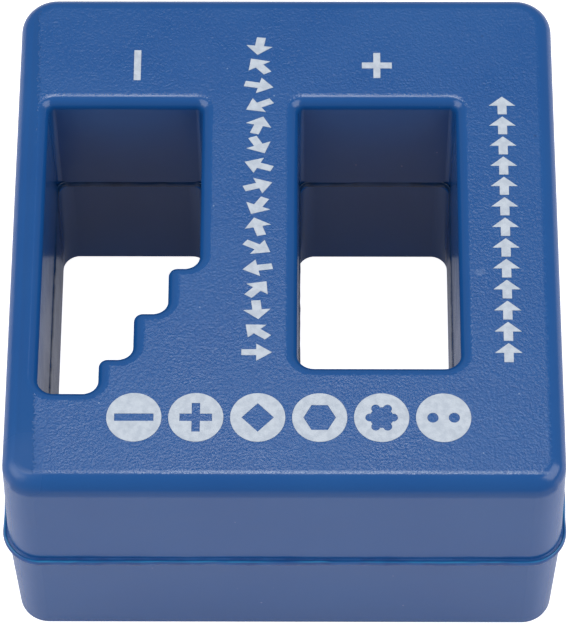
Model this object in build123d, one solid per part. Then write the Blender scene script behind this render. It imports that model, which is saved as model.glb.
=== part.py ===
from build123d import *
import os
from math import cos, pi, radians, sin

# Screwdriver magnetiser and demagnetiser block: two moulded half shells welded at
# mid height, two windows that run right through, two block magnets sealed inside,
# and white printing on the top. Millimetres. The origin is at the centre of the
# underside: +X to the right, +Y to the back, +Z up.

# ---- Housing, measured at the seam, where it is widest ----
SEAM_WIDTH = 50.6
SEAM_DEPTH = 53.0
HEIGHT = 28.0
HALF_HEIGHT = HEIGHT / 2
WALL_DRAFT = 1.4
FRONT_CORNER_RADIUS = 3.1
REAR_CORNER_RADIUS = 3.7
TOP_EDGE_RADIUS = 1.6
BASE_EDGE_RADIUS = 0.45

# ---- Windows, measured at the seam, where they are narrowest ----
WINDOW_DRAFT = 0.5
WINDOW_REAR_Y = 13.8
UPPER_FRONT_CORNER = 1.4
UPPER_REAR_CORNER = 0.5
LOWER_CORNER = 1.5
RIM_RADIUS = 1.15
BASE_RIM_RADIUS = 0.35
STEPPED_LEFT_X = -22.0
STEPPED_RIGHT_X = -7.9
STEPPED_FRONT_Y = -16.4
PLAIN_LEFT_X = 1.25
PLAIN_RIGHT_X = 15.7
PLAIN_FRONT_Y = -13.8

# ---- Steps of the demagnetising window, counted from the right ----
STEP_COUNT = 3
STEP_RUN = 3.05
STEP_DROP = 4.75
FIRST_STEP_X = -10.7
FIRST_STEP_Y = -3.4
STEP_TIP_RADIUS = 0.8
STEP_ROOT_RADIUS = 1.25

# ---- Walls and the ribs that hold the magnets ----
SKIN = 2.0
WELL_WALL = 1.5
RIB = 1.2
FIT = 0.1
SEAM_RELIEF = 0.2
GUIDE_WIDTH = 1.0
GUIDE_Y = 9.0

# ---- Magnets: two equal ferrite blocks, standing on edge ----
MAGNET_THICK = 5.0
MAGNET_LENGTH = 25.0
MAGNET_TALL = 22.0
MAGNET_EDGE = 0.4
CENTRE_MAGNET_X = (STEPPED_RIGHT_X + PLAIN_LEFT_X) / 2
SIDE_MAGNET_X = (PLAIN_RIGHT_X + WELL_WALL + SEAM_WIDTH / 2 - SKIN) / 2

# ---- Locating pins of the upper shell and sockets of the lower shell ----
PIN_POINTS = [(-19.5, 20.0), (19.5, 20.0), (-12.0, -20.0), (19.5, -20.0)]
BOSS_DIAMETER = 5.6
PIN_DIAMETER = 3.0
PIN_LENGTH = 4.5
PIN_TIP = 0.4
SOCKET_DIAMETER = 3.2
SOCKET_DEPTH = 5.0

# ---- Weld beads: plastic squeezed out of the seam, filling a groove and standing past it ----
SEAM_GROOVE = 0.25
OUTER_BEAD_WIDTH = 0.55
OUTER_BEAD_HALF_HEIGHT = 0.55
OUTER_BEAD_ROUND = 0.15
WINDOW_BEAD_WIDTH = 0.15
WINDOW_BEAD_EDGE = 0.02

# ---- Printing: thin ink on the flat top ----
INK = 0.05
MINUS_X = -13.9
PLUS_X = 8.5
SIGN_Y = 18.15
MINUS_LENGTH = 3.35
PLUS_LENGTH = 2.8
SIGN_STROKE = 0.65
ARROW_LENGTH = 1.95
ARROW_HEAD = 1.0
ARROW_HEAD_WIDTH = 1.75
ARROW_SHAFT = 0.6
ARROW_STRETCH = 1.4
ARROW_PITCH = 2.2
ARROWS_FRONT_Y = -12.7
DEMAGNETISE_X = -2.5
DEMAGNETISE_ARROWS = 16
SCATTER_ANGLE = 137.5
MAGNETISE_X = 20.1
MAGNETISE_ARROWS = 13
ALIGNED_ANGLE = 90
SYMBOL_ROW_X = 0.4
SYMBOL_ROW_Y = -19.35
SYMBOL_PITCH = 5.5
SYMBOL_DIAMETER = 4.9
RECESS = 2.9
RECESS_STROKE = 0.75
SLOT_LENGTH = 3.5
SQUARE_SIDE = 2.05
LOBE_COUNT = 6
LOBE_RADIUS = 0.4
LOBE_OFFSET = 1.05
HOLE_RADIUS = 0.5
HOLE_OFFSET = 0.95


# ---------------------------------------------------------------- outlines

def rounded_outline(points, radii):
    """Closed face through the points, each corner rounded by its own radius."""
    return make_face(FilletPolyline(*points, radius=radii, close=True))


def outer_outline(grow=0.0):
    """Outline of the block at the seam, grown or shrunk by an offset."""
    half_x = SEAM_WIDTH / 2 + grow
    half_y = SEAM_DEPTH / 2 + grow
    points = [(-half_x, -half_y), (half_x, -half_y), (half_x, half_y), (-half_x, half_y)]
    front = FRONT_CORNER_RADIUS + grow
    rear = REAR_CORNER_RADIUS + grow
    return rounded_outline(points, [front, front, rear, rear])


def plain_window(grow=0.0, front_corner=LOWER_CORNER, rear_corner=LOWER_CORNER):
    """Outline of the magnetising window at the seam."""
    points = [
        (PLAIN_LEFT_X - grow, PLAIN_FRONT_Y - grow),
        (PLAIN_RIGHT_X + grow, PLAIN_FRONT_Y - grow),
        (PLAIN_RIGHT_X + grow, WINDOW_REAR_Y + grow),
        (PLAIN_LEFT_X - grow, WINDOW_REAR_Y + grow),
    ]
    radii = [front_corner + grow, front_corner + grow, rear_corner + grow, rear_corner + grow]
    return rounded_outline(points, radii)


def stepped_window(grow=0.0, front_corner=LOWER_CORNER, rear_corner=LOWER_CORNER):
    """Outline of the demagnetising window at the seam: its front climbs in steps."""
    root = STEP_ROOT_RADIUS + grow
    tip = max(STEP_TIP_RADIUS - grow, 0.1)
    last_step_x = FIRST_STEP_X - (STEP_COUNT - 1) * STEP_RUN
    points = [
        (STEPPED_LEFT_X - grow, STEPPED_FRONT_Y - grow),
        (last_step_x + grow, STEPPED_FRONT_Y - grow),
    ]
    radii = [front_corner + grow, root]
    for step in reversed(range(STEP_COUNT)):
        x = FIRST_STEP_X - step * STEP_RUN
        next_x = STEPPED_RIGHT_X if step == 0 else x + STEP_RUN
        y = FIRST_STEP_Y - step * STEP_DROP
        points += [(x + grow, y - grow), (next_x + grow, y - grow)]
        radii += [tip, root]
    points += [
        (STEPPED_RIGHT_X + grow, WINDOW_REAR_Y + grow),
        (STEPPED_LEFT_X - grow, WINDOW_REAR_Y + grow),
    ]
    radii += [rear_corner + grow, rear_corner + grow]
    return rounded_outline(points, radii)


WINDOWS = (stepped_window, plain_window)


# ---------------------------------------------------------------- half shells
# A half shell is made with its seam at z = 0 and its outer face at z = HALF_HEIGHT.

def flat_edges(shape, z):
    """Edges of a shape that lie flat at one height."""
    return shape.edges().filter_by_position(Axis.Z, z - 0.001, z + 0.001)


def half_body(edge_radius, rim_radius, front_corner, rear_corner):
    """Outside of a half shell: drafted walls, rounded edges, windows and seam groove."""
    body = extrude(outer_outline(), HALF_HEIGHT, taper=WALL_DRAFT)
    body = fillet(flat_edges(body, HALF_HEIGHT), edge_radius)
    for window in WINDOWS:
        body -= extrude(window(0, front_corner, rear_corner), HALF_HEIGHT, taper=-WINDOW_DRAFT)
    outer_face = body.faces().sort_by(Axis.Z)[-1]
    rims = [edge for wire in outer_face.inner_wires() for edge in wire.edges()]
    body = fillet(rims, rim_radius)
    return chamfer(flat_edges(body, 0), SEAM_GROOVE)


def cavity():
    """Hollow inside a half shell, between the outer skin and the two window wells."""
    depth = HALF_HEIGHT - SKIN
    hollow = extrude(outer_outline(-SKIN), depth, taper=WALL_DRAFT)
    for window in WINDOWS:
        hollow -= extrude(window(WELL_WALL), depth)
    return hollow


def magnet_ribs(magnet_x):
    """Ribs at both ends of a magnet, guides along its sides, and the pads it bears on."""
    floor = HALF_HEIGHT - SKIN
    half_thick = MAGNET_THICK / 2
    half_length = MAGNET_LENGTH / 2
    pad_top = MAGNET_TALL / 2
    reach = half_thick + FIT + RIB
    ribs = []
    for side in (-1, 1):
        end_y = side * (half_length + FIT + RIB / 2)
        pad_y = side * (half_length - GUIDE_WIDTH)
        ribs.append(Pos(magnet_x, end_y, (SEAM_RELIEF + floor) / 2)
                    * Box(2 * reach, RIB, floor - SEAM_RELIEF))
        ribs.append(Pos(magnet_x, pad_y, (pad_top + floor) / 2)
                    * Box(MAGNET_THICK, GUIDE_WIDTH, floor - pad_top))
        for guide_y in (-GUIDE_Y, GUIDE_Y):
            guide_x = magnet_x + side * (reach + half_thick + FIT) / 2
            ribs.append(Pos(guide_x, guide_y, (SEAM_RELIEF + floor) / 2)
                        * Box(RIB, GUIDE_WIDTH, floor - SEAM_RELIEF))
    return ribs


def half_shell(edge_radius, rim_radius, front_corner, rear_corner):
    """Hollow half shell with its magnet ribs and the bosses for pins or sockets."""
    floor = HALF_HEIGHT - SKIN
    shell = half_body(edge_radius, rim_radius, front_corner, rear_corner) - cavity()
    inside = []
    for magnet_x in (CENTRE_MAGNET_X, SIDE_MAGNET_X):
        inside += magnet_ribs(magnet_x)
    for x, y in PIN_POINTS:
        inside.append(Pos(x, y, floor / 2) * Cylinder(BOSS_DIAMETER / 2, floor))
    for piece in inside:
        shell += piece
    for window in WINDOWS:
        shell -= extrude(window(0, front_corner, rear_corner), HALF_HEIGHT, taper=-WINDOW_DRAFT)
    return shell


def upper_shell():
    """Upper half: rounded top edge and four locating pins that reach past the seam."""
    half = half_shell(TOP_EDGE_RADIUS, RIM_RADIUS, UPPER_FRONT_CORNER, UPPER_REAR_CORNER)
    shell = Pos(0, 0, HALF_HEIGHT) * half
    for x, y in PIN_POINTS:
        pin = Pos(x, y, HALF_HEIGHT - PIN_LENGTH / 2) * Cylinder(PIN_DIAMETER / 2, PIN_LENGTH)
        shell += chamfer(flat_edges(pin, HALF_HEIGHT - PIN_LENGTH), PIN_TIP)
    return shell


def lower_shell():
    """Lower half: nearly square base edge and four sockets for the pins."""
    half = half_shell(BASE_EDGE_RADIUS, BASE_RIM_RADIUS, LOWER_CORNER, LOWER_CORNER)
    shell = Pos(0, 0, HALF_HEIGHT) * mirror(half, about=Plane.XY)
    for x, y in PIN_POINTS:
        shell -= Pos(x, y, HALF_HEIGHT - SOCKET_DEPTH / 2) * Cylinder(SOCKET_DIAMETER / 2, SOCKET_DEPTH)
    return shell


# ---------------------------------------------------------------- beads, magnets, print

def double_cone(outline, start, end, height):
    """Solid whose outline changes evenly from the seam plane to the same height both ways."""
    upper = loft([outline(start), Pos(0, 0, height) * outline(end)], ruled=True)
    return upper + mirror(upper, about=Plane.XY)


def outer_weld_bead(shells):
    """Ridge of squeezed-out plastic all round the outside of the seam."""
    ring = double_cone(outer_outline, OUTER_BEAD_WIDTH, 0, OUTER_BEAD_HALF_HEIGHT)
    ring = fillet(flat_edges(ring, 0), OUTER_BEAD_ROUND)
    ring -= extrude(outer_outline(-SEAM_GROOVE), OUTER_BEAD_HALF_HEIGHT, both=True)
    ring = Pos(0, 0, HALF_HEIGHT) * ring
    for shell in shells:
        ring -= shell
    return ring


def window_weld_bead(window):
    """Fine flash round the seam inside one window: fills the groove and stands past it."""
    height = SEAM_GROOVE - WINDOW_BEAD_EDGE
    in_groove = double_cone(window, SEAM_GROOVE, WINDOW_BEAD_EDGE, height)
    opening = double_cone(window, -WINDOW_BEAD_WIDTH, -WINDOW_BEAD_EDGE, height)
    return Pos(0, 0, HALF_HEIGHT) * (in_groove - opening)


def magnet(x):
    """Ferrite block with lightly broken edges."""
    block = Box(MAGNET_THICK, MAGNET_LENGTH, MAGNET_TALL)
    return Pos(x, 0, HALF_HEIGHT) * chamfer(block.edges(), MAGNET_EDGE)


def printed(faces):
    """Layer of ink on the top, one solid for each printed face."""
    return Compound([Pos(0, 0, HEIGHT) * extrude(face, INK) for face in faces])


def bar(x, y, width, length):
    """Printed rectangle."""
    return Pos(x, y) * Rectangle(width, length)


def arrow(x, y, angle):
    """Printed arrow that points along an angle, drawn wider in X than in Y."""
    tail = -ARROW_LENGTH / 2
    neck = ARROW_LENGTH / 2 - ARROW_HEAD
    half_shaft = ARROW_SHAFT / 2
    half_head = ARROW_HEAD_WIDTH / 2
    upper_side = [(tail, half_shaft), (neck, half_shaft), (neck, half_head)]
    lower_side = [(along, -across) for along, across in reversed(upper_side)]
    points = []
    for along, across in upper_side + [(ARROW_LENGTH / 2, 0)] + lower_side:
        turned_x = along * cos(radians(angle)) - across * sin(radians(angle))
        turned_y = along * sin(radians(angle)) + across * cos(radians(angle))
        points.append((x + ARROW_STRETCH * turned_x, y + turned_y))
    return make_face(Polyline(*points, close=True))


def arrow_column(x, count, first_angle, turn):
    """Column of arrows from front to back, each turned further than the last."""
    return [arrow(x, ARROWS_FRONT_Y + i * ARROW_PITCH, first_angle + i * turn) for i in range(count)]


def slot_recess():
    """Recess for a flat blade."""
    return Rectangle(SLOT_LENGTH, RECESS_STROKE)


def cross_recess():
    """Recess for a cross-head bit."""
    return Rectangle(RECESS, RECESS_STROKE) + Rectangle(RECESS_STROKE, RECESS)


def square_recess():
    """Recess for a square bit, standing on a corner."""
    return Rot(0, 0, 45) * Rectangle(SQUARE_SIDE, SQUARE_SIDE)


def hexagon_recess():
    """Recess for a hexagon bit."""
    return RegularPolygon(RECESS / 2, 6)


def star_recess():
    """Recess for a star bit: rounded lobes round a disc."""
    recess = Circle(LOBE_OFFSET)
    for lobe in range(LOBE_COUNT):
        angle = 2 * pi * lobe / LOBE_COUNT
        recess += Pos(LOBE_OFFSET * cos(angle), LOBE_OFFSET * sin(angle)) * Circle(LOBE_RADIUS)
    return recess


def spanner_recess():
    """Recess for a two-pin bit: two round holes."""
    return Pos(-HOLE_OFFSET, 0) * Circle(HOLE_RADIUS) + Pos(HOLE_OFFSET, 0) * Circle(HOLE_RADIUS)


def drive_symbols():
    """Row of round screw heads, one for each kind of bit."""
    recesses = (slot_recess, cross_recess, square_recess, hexagon_recess, star_recess, spanner_recess)
    faces = []
    for i, recess in enumerate(recesses):
        x = SYMBOL_ROW_X + (i - (len(recesses) - 1) / 2) * SYMBOL_PITCH
        faces.append(Pos(x, SYMBOL_ROW_Y) * (Circle(SYMBOL_DIAMETER / 2) - recess()))
    return faces


# ---------------------------------------------------------------- assembly

top = upper_shell()
bottom = lower_shell()
shells = (top, bottom)
parts = {
    "upper_shell": top,
    "lower_shell": bottom,
    "outer_weld_bead": outer_weld_bead(shells),
    "stepped_window_weld_bead": window_weld_bead(stepped_window),
    "plain_window_weld_bead": window_weld_bead(plain_window),
    "centre_magnet": magnet(CENTRE_MAGNET_X),
    "side_magnet": magnet(SIDE_MAGNET_X),
    "minus_print": printed([bar(MINUS_X, SIGN_Y, SIGN_STROKE, MINUS_LENGTH)]),
    "plus_print": printed([bar(PLUS_X, SIGN_Y, SIGN_STROKE, PLUS_LENGTH)
                           + bar(PLUS_X, SIGN_Y, PLUS_LENGTH, SIGN_STROKE)]),
    "demagnetise_arrows": printed(arrow_column(DEMAGNETISE_X, DEMAGNETISE_ARROWS, 0, SCATTER_ANGLE)),
    "magnetise_arrows": printed(arrow_column(MAGNETISE_X, MAGNETISE_ARROWS, ALIGNED_ANGLE, 0)),
    "drive_symbols": printed(drive_symbols()),
}

os.makedirs("parts", exist_ok=True)
for name, shape in parts.items():
    export_step(shape, f"parts/{name}.step")
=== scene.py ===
from math import atan2, ceil, cos, hypot, radians, sin, tan

import bmesh
import bpy
from mathutils import Matrix, Vector, noise


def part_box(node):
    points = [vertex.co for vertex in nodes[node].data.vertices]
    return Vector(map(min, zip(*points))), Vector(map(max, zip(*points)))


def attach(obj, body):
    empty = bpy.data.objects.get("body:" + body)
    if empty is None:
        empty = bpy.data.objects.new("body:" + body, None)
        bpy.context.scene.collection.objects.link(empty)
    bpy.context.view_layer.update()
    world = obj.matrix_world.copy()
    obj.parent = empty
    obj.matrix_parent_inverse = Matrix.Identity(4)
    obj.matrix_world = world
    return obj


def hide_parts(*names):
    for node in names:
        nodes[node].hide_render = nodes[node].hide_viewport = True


# A screwdriver magnetiser and demagnetiser block on a pale studio floor. The two half shells,
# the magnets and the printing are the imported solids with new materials. The three weld beads
# are modelled here, uneven as squeezed-out plastic is.

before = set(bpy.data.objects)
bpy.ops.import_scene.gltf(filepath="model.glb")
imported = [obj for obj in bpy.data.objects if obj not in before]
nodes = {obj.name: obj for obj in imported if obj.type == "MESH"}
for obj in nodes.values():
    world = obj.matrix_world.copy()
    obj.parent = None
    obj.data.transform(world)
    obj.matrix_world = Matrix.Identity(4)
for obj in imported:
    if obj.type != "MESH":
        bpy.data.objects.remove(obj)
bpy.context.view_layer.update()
MM = 0.001


# ---------------------------------------------------------------- outlines

def unit(vector):
    length = hypot(*vector)
    return (vector[0] / length, vector[1] / length)


def corner_arc(before, corner, after, radius, step):
    """Points and outward normals round one corner of an outline that runs anticlockwise."""
    u = unit((corner[0] - before[0], corner[1] - before[1]))
    v = unit((after[0] - corner[0], after[1] - corner[1]))
    turn = atan2(u[0] * v[1] - u[1] * v[0], u[0] * v[0] + u[1] * v[1])
    side = 1 if turn > 0 else -1
    trim = radius * tan(abs(turn) / 2)
    start = (corner[0] - u[0] * trim, corner[1] - u[1] * trim)
    centre = (start[0] - side * radius * u[1], start[1] + side * radius * u[0])
    first = atan2(start[1] - centre[1], start[0] - centre[0])
    count = max(4, ceil(radius * abs(turn) / step))
    stations = []
    for i in range(count + 1):
        angle = first + turn * i / count
        out = (cos(angle), sin(angle))
        point = (centre[0] + radius * out[0], centre[1] + radius * out[1])
        stations.append((point, (side * out[0], side * out[1])))
    return stations


def stations_round(corners, radii, step):
    """Evenly spaced points and outward normals round a closed outline with rounded corners."""
    count = len(corners)
    arcs = []
    for i in range(count):
        arcs.append(corner_arc(corners[i - 1], corners[i], corners[(i + 1) % count], radii[i], step))
    stations = []
    for i in range(count):
        stations += arcs[i]
        (x0, y0), normal = arcs[i][-1]
        x1, y1 = arcs[(i + 1) % count][0][0]
        pieces = ceil(hypot(x1 - x0, y1 - y0) / step)
        for k in range(1, pieces):
            t = k / pieces
            stations.append(((x0 + (x1 - x0) * t, y0 + (y1 - y0) * t), normal))
    return stations


def rectangle(x0, x1, y0, y1):
    return [(x0, y0), (x1, y0), (x1, y1), (x0, y1)]


# ---------------------------------------------------------------- weld beads

# The seam and the room for the beads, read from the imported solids
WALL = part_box("lower_shell")[1]
SEAM_Z = WALL.z
BEAD_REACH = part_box("outer_weld_bead")[1].x - WALL.x

# The groove that the beads fill, and the distance between two sections of a bead
GROOVE = 0.25 * MM
BEAD_STEP = 0.2 * MM

# Corners of the walls at the seam
FRONT_CORNER = 3.1 * MM
REAR_CORNER = 3.7 * MM
WINDOW_FRONT_CORNER = 1.4 * MM
WINDOW_REAR_CORNER = 0.9 * MM

# Steps of the demagnetising window
STEP_COUNT = 3
STEP_RUN = 3.05 * MM
STEP_DROP = 4.75 * MM
STEP_ROOT = 1.25 * MM
STEP_TIP = 0.8 * MM
FIRST_STEP_INSET = 2.8 * MM
FIRST_STEP_BACK = 17.2 * MM

# Strips of the outer bead, counted up its section, that are its crest, coloured lighter as a painted
# highlight
OUTER_CREST = (3, 4, 5)


def ring(name, stations, section, materials, crest=()):
    """Closed ring: section(x, y) gives the (outward, up) points of the bead at a station.

    The strips of faces whose numbers are in crest take the second material."""
    mesh = bmesh.new()
    rows = []
    for (x, y), (nx, ny) in stations:
        row = []
        for out, up in section(x, y):
            row.append(mesh.verts.new((x + nx * out, y + ny * out, SEAM_Z + up)))
        rows.append(row)
    for i, row in enumerate(rows):
        following = rows[(i + 1) % len(rows)]
        for k in range(len(row)):
            j = (k + 1) % len(row)
            face = mesh.faces.new((row[k], row[j], following[j], following[k]))
            face.smooth = True
            face.material_index = int(k in crest)
    bmesh.ops.recalc_face_normals(mesh, faces=mesh.faces)
    data = bpy.data.meshes.new(name)
    mesh.to_mesh(data)
    mesh.free()
    piece = bpy.data.objects.new(name, data)
    bpy.context.scene.collection.objects.link(piece)
    for material in materials:
        data.materials.append(material)
    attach(piece, "root")
    return piece


def wander(x, y, length, seed):
    """Smooth value between about -1 and 1 that changes over the given length."""
    return noise.noise(Vector((x / length, y / length, seed)))


def outer_section(x, y):
    """Section of the outer bead: it dips from the wall, then rises to a thin curled lip."""
    lumps = 0.06 * wander(x, y, 7 * MM, 3.1) + 0.05 * wander(x, y, 1.3 * MM, 8.4)
    width = min(max(0.43 + lumps, 0.26), BEAD_REACH / MM)
    top = min(0.47 + 0.10 * wander(x, y, 9 * MM, 5.7) + 0.03 * wander(x, y, 2 * MM, 2.9), 0.54)
    low = 0.42 + 0.05 * wander(x, y, 4 * MM, 6.6)
    lift = 0.06 + 0.07 * wander(x, y, 6 * MM, 1.9) + 0.03 * wander(x, y, 1.0 * MM, 4.2)
    profile = [
        (-0.03, top), (0.12 * width, 0.68 * top), (0.27 * width, 0.30 * top + 0.5 * lift),
        (0.40 * width, 0.14 + lift), (0.53 * width, 0.16 + lift), (0.65 * width, 0.16 + lift),
        (0.76 * width, 0.09 + lift), (0.90 * width, -0.04 + 0.7 * lift), (width, -0.18 + 0.4 * lift),
        (0.96 * width, -0.27), (0.75 * width, -0.33), (0.40 * width, -0.36), (-0.03, -low), (-0.20, 0.0),
    ]
    return [(out * MM, up * MM) for out, up in profile]


def window_section(x, y):
    """Section of the flash inside a window: a long slope above, turned under below.

    Outward is into the plastic."""
    proud = 0.13 + 0.05 * wander(x, y, 3 * MM, 2.2) + 0.04 * wander(x, y, 0.8 * MM, 4.4)
    proud = min(max(proud, 0.05), 0.21)
    above = 0.43 + 0.06 * wander(x, y, 2.5 * MM, 7.3) + 0.04 * wander(x, y, 0.7 * MM, 1.3)
    below = 0.36 + 0.05 * wander(x, y, 2.5 * MM, 9.1) + 0.03 * wander(x, y, 0.7 * MM, 5.6)
    profile = [
        (0.21, 0.02), (0.03, above), (-0.25 * proud, 0.62 * above), (-0.60 * proud, 0.15 * above),
        (-proud, -0.45 * below), (-0.92 * proud, -0.70 * below), (0.03, -below), (0.21, -0.02),
    ]
    return [(out * MM, up * MM) for out, up in profile]


# ---------------------------------------------------------------- materials

def new_material(name):
    material = bpy.data.materials.new(name)
    material.use_nodes = True
    tree = material.node_tree
    return material, tree, tree.nodes["Principled BSDF"]


class Graph:
    """Short calls for making shader nodes in one tree."""

    def __init__(self, tree):
        self.tree = tree
        self.position = tree.nodes.new("ShaderNodeTexCoord").outputs["Object"]

    def put(self, socket, value):
        if hasattr(value, "links"):
            self.tree.links.new(value, socket)
        else:
            socket.default_value = value

    def math(self, operation, a, b):
        node = self.tree.nodes.new("ShaderNodeMath")
        node.operation = operation
        self.put(node.inputs[0], a)
        self.put(node.inputs[1], b)
        return node.outputs[0]

    def product(self, first, *others):
        for other in others:
            first = self.math("MULTIPLY", first, other)
        return first

    def total(self, first, *others):
        for other in others:
            first = self.math("ADD", first, other)
        return first

    def vector(self, operation, *values):
        node = self.tree.nodes.new("ShaderNodeVectorMath")
        node.operation = operation
        for socket, value in zip(node.inputs, values):
            self.put(socket, value)
        return node.outputs[0]

    def noise(self, size, detail=2.0, roughness=0.5):
        """Noise with features of about the given size, in metres."""
        node = self.tree.nodes.new("ShaderNodeTexNoise")
        node.inputs["Scale"].default_value = 1.0 / size
        node.inputs["Detail"].default_value = detail
        node.inputs["Roughness"].default_value = roughness
        self.put(node.inputs["Vector"], self.position)
        return node.outputs["Fac"]

    def ramp(self, value, low, high, to_low=0.0, to_high=1.0):
        node = self.tree.nodes.new("ShaderNodeMapRange")
        node.interpolation_type = "SMOOTHSTEP"
        self.put(node.inputs["Value"], value)
        self.put(node.inputs["From Min"], low)
        self.put(node.inputs["From Max"], high)
        self.put(node.inputs["To Min"], to_low)
        self.put(node.inputs["To Max"], to_high)
        return node.outputs["Result"]

    def drift(self, size, low, high):
        """Value that drifts between two limits over patches of about the given size."""
        return self.ramp(self.noise(size), 0.3, 0.7, low, high)

    def patches(self, size):
        """0 in some patches of about the given size and 1 in others, with soft borders."""
        return self.ramp(self.noise(size), 0.35, 0.65)

    def mix(self, factor, a, b):
        node = self.tree.nodes.new("ShaderNodeMix")
        node.data_type = "RGBA"
        self.put(node.inputs[0], factor)
        self.put(node.inputs[6], (*a, 1.0) if isinstance(a, tuple) else a)
        self.put(node.inputs[7], (*b, 1.0) if isinstance(b, tuple) else b)
        return node.outputs[2]

    def bump(self, height, distance, strength=1.0, normal=None):
        node = self.tree.nodes.new("ShaderNodeBump")
        node.inputs["Distance"].default_value = distance
        node.inputs["Strength"].default_value = strength
        self.put(node.inputs["Height"], height)
        if normal is not None:
            self.put(node.inputs["Normal"], normal)
        return node.outputs["Normal"]

    def axes(self, vector):
        node = self.tree.nodes.new("ShaderNodeSeparateXYZ")
        self.put(node.inputs[0], vector)
        return node.outputs

    def surface_normal(self):
        return self.tree.nodes.new("ShaderNodeNewGeometry").outputs["Normal"]

    def specks(self, size, share):
        """Small round dots, one in a random few of the cells."""
        node = self.tree.nodes.new("ShaderNodeTexVoronoi")
        node.inputs["Scale"].default_value = 1.0 / size
        self.put(node.inputs["Vector"], self.position)
        dot = self.ramp(node.outputs["Distance"], 0.10, 0.04)
        chosen = self.math("LESS_THAN", self.axes(node.outputs["Color"])[0], share)
        return self.product(dot, chosen)


# The plastic, the painted glint on the crests and painted shade in the pits of its grain, and what lies
# on it, whose pale dust colour also paints the highlight on the front edge
BLUE = (0.011, 0.088, 0.290)
BLUE_DEEP = (0.008, 0.074, 0.264)
GLINT = (0.10, 0.22, 0.46)
PIT_SHADE = (0.004, 0.045, 0.190)
DUST_AND_HIGHLIGHT = (0.45, 0.55, 0.72)
DIRT = (0.004, 0.020, 0.085)
PLASTIC_IOR = 1.5

# Left border of the eroded field on the top, and the smooth strip beside it
FIELD_LEFT = -22.75 * MM
FIELD_SLANT = -0.024
FIELD_RAGGEDNESS = 1.1 * MM
FIELD_EDGE = 0.15 * MM
STRIP_LEAN = -0.40

# Roll of the front and back walls into the top edge
CROWN_START = 25.5 * MM
CROWN_MIDDLE = 26.4 * MM
CROWN_END = 27.9 * MM
CROWN_LEAN = 0.36
OUTER_WALL_Y = 25.2 * MM

# Grain, from its size to how much painted glint and painted shade it puts on the plastic, less towards
# the back
GRAIN_SIZE = 0.23 * MM
COARSE_SIZE = 0.45 * MM
COARSE_SHARE = 0.4
GRAIN_DEPTH = 0.05 * MM
GRAIN_DEPTH_SHARE = 0.85
CREST_SHARE = 0.12
PIT_SHARE = 0.22
BACK_GRAIN_LIGHT = 0.45
FIELD_HALF_DEPTH = 25 * MM

# Painted highlight along the front edge; wear: the scuffed corner; and marks as (place, half size,
# share) in mm
LIP_REAR = -24.60 * MM
LIP_FRONT = -25.00 * MM
LIP_HIGHLIGHT_SHARE = 0.19
SCUFF_ROUGHNESS = 0.16
SMUDGE = ((17.7, -4.3), (0.7, 0.5), 0.10)
SMEAR = ((-12.6, -18.1), (1.5, 0.25), 0.28)


def field_reach(graph):
    """1 right of the ragged left border of the eroded field, 0 on the smooth strip beside it."""
    x, y, z = graph.axes(graph.position)
    ragged = graph.product(graph.math("SUBTRACT", graph.noise(0.35 * MM), 0.5), FIELD_RAGGEDNESS)
    border = graph.total(graph.product(y, FIELD_SLANT), FIELD_LEFT)
    reach = graph.math("SUBTRACT", graph.total(x, ragged), border)
    return graph.ramp(reach, 0.0, FIELD_EDGE)


def eroded_field(graph, up, least, most):
    """1 on the spark-eroded flat, 0 where its normal tilts away and left of its border."""
    tilt = graph.product(graph.axes(graph.surface_normal())[2], up)
    return graph.product(graph.ramp(tilt, least, most), field_reach(graph))


def crown_normal(graph):
    """Surface normal, leaned up where the end walls roll into the top, and left on the strip."""
    x, y, z = graph.axes(graph.position)
    on_end = graph.ramp(graph.math("ABSOLUTE", y, 0.0), OUTER_WALL_Y, OUTER_WALL_Y + 0.4 * MM)
    rise = graph.ramp(z, CROWN_START, CROWN_MIDDLE, 0.0, CROWN_LEAN)
    fall = graph.ramp(z, CROWN_END, CROWN_MIDDLE)
    on_top = graph.ramp(z, CROWN_END, CROWN_END + 0.08 * MM)
    on_strip = graph.product(graph.math("SUBTRACT", 1.0, field_reach(graph)), on_top)
    offset = graph.tree.nodes.new("ShaderNodeCombineXYZ")
    graph.put(offset.inputs[0], graph.product(on_strip, STRIP_LEAN))
    graph.put(offset.inputs[2], graph.product(rise, fall, on_end))
    return graph.vector("NORMALIZE", graph.vector("ADD", graph.surface_normal(), offset.outputs[0]))


def scuffed_corner(graph):
    """1 on the front left corner of the top edge, where the polish is worn off."""
    x, y, z = graph.axes(graph.position)
    left = graph.ramp(x, -20.5 * MM, -22.5 * MM)
    front = graph.ramp(y, -20.0 * MM, -22.5 * MM)
    return graph.product(left, front, graph.ramp(z, 25.5 * MM, 27.0 * MM))


def painted_lip_highlight(graph):
    """1 along the front edge of the top, where a pale line is painted as a highlight; fades to the left.
    """
    x, y, z = graph.axes(graph.position)
    behind = graph.ramp(y, LIP_REAR, LIP_REAR - 0.15 * MM)
    before = graph.ramp(y, LIP_FRONT, LIP_FRONT + 0.1 * MM)
    on_top = graph.ramp(z, CROWN_END - 0.05 * MM, CROWN_END)
    speckle = graph.ramp(graph.noise(0.22 * MM), 0.35, 0.62, 0.35, 1.0)
    along = graph.ramp(x, -19.0 * MM, -4.0 * MM)
    return graph.product(behind, before, on_top, speckle, along)


def mark(graph, place, half_size, share):
    """Soft patch on the top, torn by noise towards its edge; share is its strength inside."""
    x, y, z = graph.axes(graph.position)
    squares = []
    for value, middle, half in zip((x, y), place, half_size):
        offset = graph.math("DIVIDE", graph.math("SUBTRACT", value, middle * MM), half * MM)
        squares.append(graph.product(offset, offset))
    torn = graph.total(*squares, graph.noise(0.5 * MM))
    on_top = graph.ramp(z, CROWN_END - 0.4 * MM, CROWN_END)
    return graph.product(graph.ramp(torn, 1.35, 0.5), on_top, share)


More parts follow.
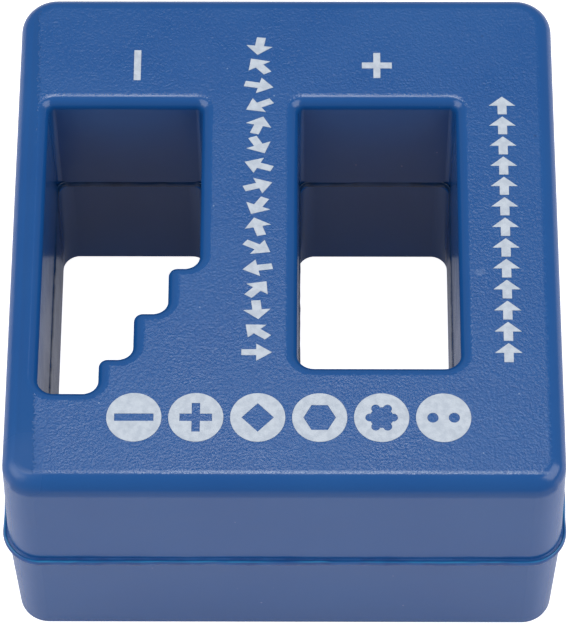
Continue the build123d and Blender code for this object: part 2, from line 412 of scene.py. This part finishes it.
def grained_colour(graph, broad, grain, grained):
    """Blue that drifts a little, with painted glints on the crests and painted shade in the pits, both
    stronger towards the front, and specks.
    """
    toward_front = graph.ramp(
        graph.axes(graph.position)[1], FIELD_HALF_DEPTH, -FIELD_HALF_DEPTH, BACK_GRAIN_LIGHT, 1.0)
    painted_grain_light = graph.product(grained, toward_front)
    # Painted glints on the crests and painted shade in the pits, stronger towards the front where the
    # light glints
    crests = graph.product(graph.ramp(grain, 0.50, 0.68), painted_grain_light, CREST_SHARE)
    pits = graph.product(graph.ramp(grain, 0.50, 0.32), painted_grain_light, PIT_SHARE)
    dust = graph.product(graph.specks(1.1 * MM, 0.05), 0.35)
    dirt = graph.product(graph.specks(2.3 * MM, 0.05), 0.5)
    colour = graph.mix(broad, BLUE_DEEP, BLUE)
    for share, tint in ((crests, GLINT), (pits, PIT_SHADE), (dust, DUST_AND_HIGHLIGHT), (dirt, DIRT)):
        colour = graph.mix(share, colour, tint)
    return colour


def shell_plastic(name, up):
    """Blue moulded plastic: eroded grain on the flat, satin polish with faint flow elsewhere.

    The flat of the half faces along up. Only the upper half has stains, a painted highlight on its front
    edge, a scuffed corner and a leaned normal."""
    material, tree, shader = new_material(name)
    graph = Graph(tree)
    broad = graph.noise(9 * MM, 1.0)
    grain = graph.noise(GRAIN_SIZE, 2.0, 0.6)
    flat = eroded_field(graph, up, 0.988, 0.9995)
    grained = eroded_field(graph, up, 0.960, 0.992)
    colour = grained_colour(graph, broad, grain, grained)
    flow = graph.ramp(graph.noise(3 * MM, 3.0), 0.3, 0.7, 0.18, 0.23)
    matt = graph.ramp(broad, 0.3, 0.7, 0.08, 0.13)
    roughness = graph.total(flow, graph.product(flat, matt))
    normal = None
    if up > 0:
        # Painted highlight: a pale line along the front edge of the top, mixed into the colour with the
        # stains
        lip_highlight = graph.product(painted_lip_highlight(graph), LIP_HIGHLIGHT_SHARE)
        pale = graph.total(mark(graph, *SMUDGE), mark(graph, *SMEAR), lip_highlight)
        colour = graph.mix(pale, colour, DUST_AND_HIGHLIGHT)
        roughness = graph.total(roughness, graph.product(scuffed_corner(graph), SCUFF_ROUGHNESS))
        normal = crown_normal(graph)
    erosion = graph.total(grain, graph.product(graph.noise(COARSE_SIZE), COARSE_SHARE))
    normal = graph.bump(graph.product(erosion, grained), GRAIN_DEPTH, GRAIN_DEPTH_SHARE, normal)
    normal = graph.bump(graph.noise(2.5 * MM), 0.02 * MM, 0.5, normal)
    graph.put(shader.inputs["Base Color"], colour)
    graph.put(shader.inputs["Roughness"], roughness)
    graph.put(shader.inputs["Normal"], normal)
    shader.inputs["IOR"].default_value = PLASTIC_IOR
    return material


def bead_plastic(name, dark, light, patch):
    """The same plastic, melted and frozen again: glossy, drifting in patches between a dark and a light
    colour.
    """
    material, tree, shader = new_material(name)
    graph = Graph(tree)
    graph.put(shader.inputs["Base Color"], graph.mix(graph.patches(patch), dark, light))
    graph.put(shader.inputs["Roughness"], graph.drift(0.8 * MM, 0.10, 0.22))
    graph.put(shader.inputs["Normal"], graph.bump(graph.noise(0.5 * MM, 3.0), 0.02 * MM, 0.6))
    shader.inputs["IOR"].default_value = PLASTIC_IOR
    return material


def ink():
    """Pad-printed ink over the grain: off-white, slightly uneven, with pinholes."""
    thin, full, seen_through = (0.45, 0.50, 0.575), (0.53, 0.58, 0.65), (0.20, 0.28, 0.46)
    material, tree, shader = new_material("white_ink")
    graph = Graph(tree)
    grain = graph.noise(0.16 * MM, 3.0, 0.6)
    holes = graph.product(graph.ramp(grain, 0.34, 0.26), 0.5)
    colour = graph.mix(holes, graph.mix(graph.patches(0.7 * MM), thin, full), seen_through)
    graph.put(shader.inputs["Base Color"], colour)
    graph.put(shader.inputs["Roughness"], graph.ramp(grain, 0.3, 0.7, 0.50, 0.62))
    graph.put(shader.inputs["Normal"], graph.bump(grain, 0.03 * MM, 0.6))
    return material


def ferrite():
    """Sintered ferrite: dark grey, with pores."""
    pore, ground = (0.018, 0.018, 0.020), (0.055, 0.055, 0.060)
    material, tree, shader = new_material("sintered_ferrite")
    graph = Graph(tree)
    solid = graph.ramp(graph.noise(0.25 * MM, 4.0, 0.7), 0.35, 0.60)
    graph.put(shader.inputs["Base Color"], graph.mix(solid, pore, ground))
    graph.put(shader.inputs["Roughness"], graph.drift(1.5 * MM, 0.45, 0.65))
    graph.put(shader.inputs["Normal"], graph.bump(solid, 0.05 * MM, 0.6))
    return material


def dress(names, material):
    """Gives a carried-over CAD node its finish."""
    for name in names:
        materials = nodes[name].data.materials
        for i in range(len(materials)):
            materials[i] = material


dress(["upper_shell"], shell_plastic("upper_shell_plastic", 1.0))
dress(["lower_shell"], shell_plastic("lower_shell_plastic", -1.0))
dress(["centre_magnet", "side_magnet"], ferrite())
PRINTS = ["minus_print", "plus_print", "demagnetise_arrows", "magnetise_arrows", "drive_symbols"]
dress(PRINTS, ink())

# ---------------------------------------------------------------- bead pieces

def window_box(node):
    """Edges of a window at the seam: its bead's box without the groove that the bead fills."""
    low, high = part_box(node)
    return low.x + GROOVE, high.x - GROOVE, low.y + GROOVE, high.y - GROOVE


def stepped_corners():
    """Corners and radii of the stepped window, anticlockwise from its front left."""
    x0, x1, y0, y1 = window_box("stepped_window_weld_bead")
    first_x = x1 - FIRST_STEP_INSET
    first_y = y1 - FIRST_STEP_BACK
    corners = [(x0, y0), (first_x - (STEP_COUNT - 1) * STEP_RUN, y0)]
    radii = [WINDOW_FRONT_CORNER, STEP_ROOT]
    for step in reversed(range(STEP_COUNT)):
        x = first_x - step * STEP_RUN
        y = first_y - step * STEP_DROP
        corners += [(x, y), (x1 if step == 0 else x + STEP_RUN, y)]
        radii += [STEP_TIP, STEP_ROOT]
    corners += [(x1, y1), (x0, y1)]
    radii += [WINDOW_REAR_CORNER, WINDOW_REAR_CORNER]
    return corners, radii


lip = bead_plastic("weld_bead_plastic", (0.009, 0.062, 0.24), (0.011, 0.088, 0.30), 1.6 * MM)
# Painted highlight: the crest of the outer bead is coloured much lighter than the plastic
crest_highlight = bead_plastic("weld_crest_highlight", (0.010, 0.10, 0.32), (0.028, 0.24, 0.50), 4.5 * MM)
# Painted shade: the flash in the windows is coloured far darker than the plastic, as the shade in the
# seam groove
flash = bead_plastic("window_flash_shade", (0.008, 0.040, 0.11), (0.013, 0.060, 0.17), 1.6 * MM)

outer_corners = rectangle(-WALL.x, WALL.x, -WALL.y, WALL.y)
outer_radii = [FRONT_CORNER, FRONT_CORNER, REAR_CORNER, REAR_CORNER]
outer = stations_round(outer_corners, outer_radii, BEAD_STEP)
outer_bead = ring("uneven_outer_bead", outer, outer_section, (lip, crest_highlight), OUTER_CREST)
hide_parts("outer_weld_bead")

plain_corners = rectangle(*window_box("plain_window_weld_bead"))
plain_radii = [WINDOW_FRONT_CORNER, WINDOW_FRONT_CORNER, WINDOW_REAR_CORNER, WINDOW_REAR_CORNER]
plain = stations_round(plain_corners, plain_radii, BEAD_STEP)
plain_bead = ring("uneven_plain_window_bead", plain, window_section, (flash,))
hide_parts("plain_window_weld_bead")

stepped = stations_round(*stepped_corners(), BEAD_STEP)
stepped_bead = ring("uneven_stepped_window_bead", stepped, window_section, (flash,))
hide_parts("stepped_window_weld_bead")

# ---------------------------------------------------------------- floor, light and camera

FLOOR_HALF_SIZE = 1.5
FLOOR_TOP = -0.02 * MM
FLOOR_COLOUR = (0.72, 0.71, 0.77, 1)
FLOOR_GLOW_SEEN = 0.84
FLOOR_GLOW = 0.14

SKY_COLOUR = (0.9, 0.95, 1.0, 1)
SKY_STRENGTH = 0.31
MIDDLE = (0, 0, 14 * MM)

CAMERA_PLACE = (2.148, -183.443, 329.793)
CAMERA_PITCH = 59.953
CAMERA_YAW = -0.796
CAMERA_ROLL = -0.598
CAMERA_LENS = 223.58
CAMERA_SENSOR = 36.0
CAMERA_SHIFT = (0.0038, 0.0066)


def studio_floor():
    """Pale floor, seen as clean as a cut-out but reflected as it is lit."""
    mesh = bpy.data.meshes.new("floor")
    signs = ((-1, -1), (1, -1), (1, 1), (-1, 1))
    corners = [(x * FLOOR_HALF_SIZE, y * FLOOR_HALF_SIZE, FLOOR_TOP) for x, y in signs]
    mesh.from_pydata(corners, [], [(0, 1, 2, 3)])
    floor = bpy.data.objects.new("floor", mesh)
    bpy.context.scene.collection.objects.link(floor)
    material, tree, shader = new_material("floor_paper")
    shader.inputs["Base Color"].default_value = FLOOR_COLOUR
    shader.inputs["Roughness"].default_value = 0.9
    shader.inputs["Emission Color"].default_value = (1, 1, 1, 1)
    seen = tree.nodes.new("ShaderNodeLightPath")
    glow = Graph(tree).math("MULTIPLY_ADD", seen.outputs["Is Camera Ray"], FLOOR_GLOW_SEEN)
    glow.node.inputs[2].default_value = FLOOR_GLOW
    tree.links.new(glow, shader.inputs["Emission Strength"])
    mesh.materials.append(material)


def softbox(name, size, power, place):
    """Soft rectangular light aimed at the middle of the block."""
    light = bpy.data.lights.new(name, "AREA")
    light.shape = "RECTANGLE"
    light.size, light.size_y = size
    light.energy = power
    lamp = bpy.data.objects.new(name, light)
    bpy.context.scene.collection.objects.link(lamp)
    lamp.location = place
    lamp.rotation_euler = (Vector(MIDDLE) - Vector(place)).to_track_quat("-Z", "Y").to_euler()


def studio_sky():
    """Even light from all round."""
    world = bpy.data.worlds.new("studio")
    world.use_nodes = True
    background = world.node_tree.nodes["Background"]
    background.inputs["Color"].default_value = SKY_COLOUR
    background.inputs["Strength"].default_value = SKY_STRENGTH
    bpy.context.scene.world = world


def studio_camera():
    """Long lens, looking down at the block from in front."""
    pitch, yaw, roll = radians(CAMERA_PITCH), radians(CAMERA_YAW), radians(CAMERA_ROLL)
    ahead = Vector((sin(yaw) * cos(pitch), cos(yaw) * cos(pitch), -sin(pitch)))
    level = Vector((cos(yaw), -sin(yaw), 0))
    upright = level.cross(ahead)
    right = level * cos(roll) + upright * sin(roll)
    up = upright * cos(roll) - level * sin(roll)
    data = bpy.data.cameras.new("camera")
    data.sensor_width = CAMERA_SENSOR
    data.lens = CAMERA_LENS
    data.shift_x, data.shift_y = CAMERA_SHIFT
    data.clip_start = 0.01
    camera = bpy.data.objects.new("camera", data)
    bpy.context.scene.collection.objects.link(camera)
    turn = Matrix((right, up, -ahead)).transposed().to_4x4()
    camera.matrix_world = Matrix.Translation(Vector(CAMERA_PLACE) * MM) @ turn
    bpy.context.scene.camera = camera


studio_floor()
softbox("key", size=(0.085, 0.125), power=0.27, place=(-0.007, 0.064, 0.35))
softbox("left", size=(0.5, 0.5), power=2.05, place=(-0.45, -0.10, 0.40))
softbox("right", size=(0.5, 0.5), power=2.05, place=(0.45, -0.10, 0.40))
studio_sky()
bpy.context.scene.view_settings.view_transform = "Standard"
studio_camera()
